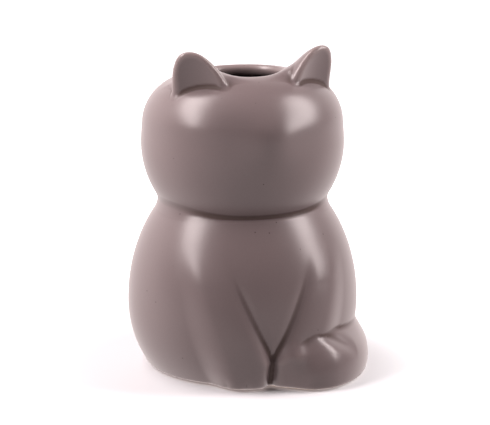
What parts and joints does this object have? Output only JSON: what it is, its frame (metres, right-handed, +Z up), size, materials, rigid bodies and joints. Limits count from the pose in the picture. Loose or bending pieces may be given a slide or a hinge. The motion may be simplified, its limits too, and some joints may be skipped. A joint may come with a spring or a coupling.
{
  "type": "cat vase",
  "caption": "Satin-glazed stoneware vase in the form of a seated cat, open at the crown of its round head to hold a small bunch of flowers.",
  "frame": {"origin": "on the table, under the middle of the cat's own extent in X and Y", "axes": "+Z up; the cat faces -Y; +X is the cat's left side, with the tail"},
  "size_m": [0.1106, 0.1082, 0.148],
  "materials": {
    "satin_glaze": "satin taupe-grey glaze",
    "bare_clay": "unglazed stoneware, sponged smooth"
  },
  "bodies": {
    "root": {"body_shell": "satin_glaze", "head_shell": "satin_glaze", "left_ear": "satin_glaze", "right_ear": "satin_glaze", "left_foreleg": "satin_glaze", "right_foreleg": "satin_glaze", "tail": "satin_glaze", "foot_rim": "bare_clay"}
  },
  "joints": []
}
